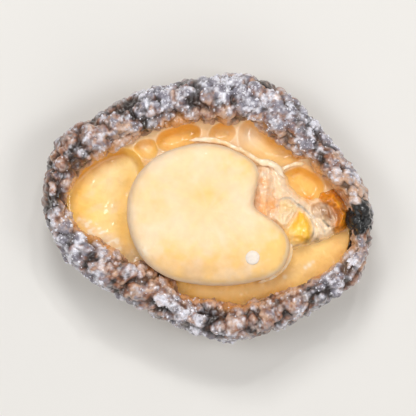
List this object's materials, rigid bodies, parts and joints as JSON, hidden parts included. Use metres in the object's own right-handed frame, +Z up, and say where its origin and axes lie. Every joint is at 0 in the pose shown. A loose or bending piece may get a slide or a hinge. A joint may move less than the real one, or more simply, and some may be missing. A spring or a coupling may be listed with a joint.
{
  "type": "frozen shucked abalone",
  "caption": "Shucked abalone lying on its flat sole: broad foot, round shell muscle standing in a well, warty frill curled up round the edge, mouth parts at one end.",
  "frame": {"origin": "on the surface it lies on, under the middle of its outer box", "axes": "+X along the body towards the head, +Z up, from the sole to the shell muscle"},
  "size_m": [0.0752, 0.0608, 0.0231],
  "materials": {
    "abalone_meat": "moist frozen flesh, cream muscle and amber foot, dark frosted frill",
    "shell_muscle": "smooth moist cream muscle, faintly mottled",
    "frill_skin": "rough dark warty skin under lilac-white frost",
    "mouth_parts": "glossy soft parts, pink, yellow, amber and brown",
    "frost": "ice crystals, white and rough"
  },
  "bodies": {
    "root": {"abalone": "abalone_meat"}
  },
  "joints": []
}
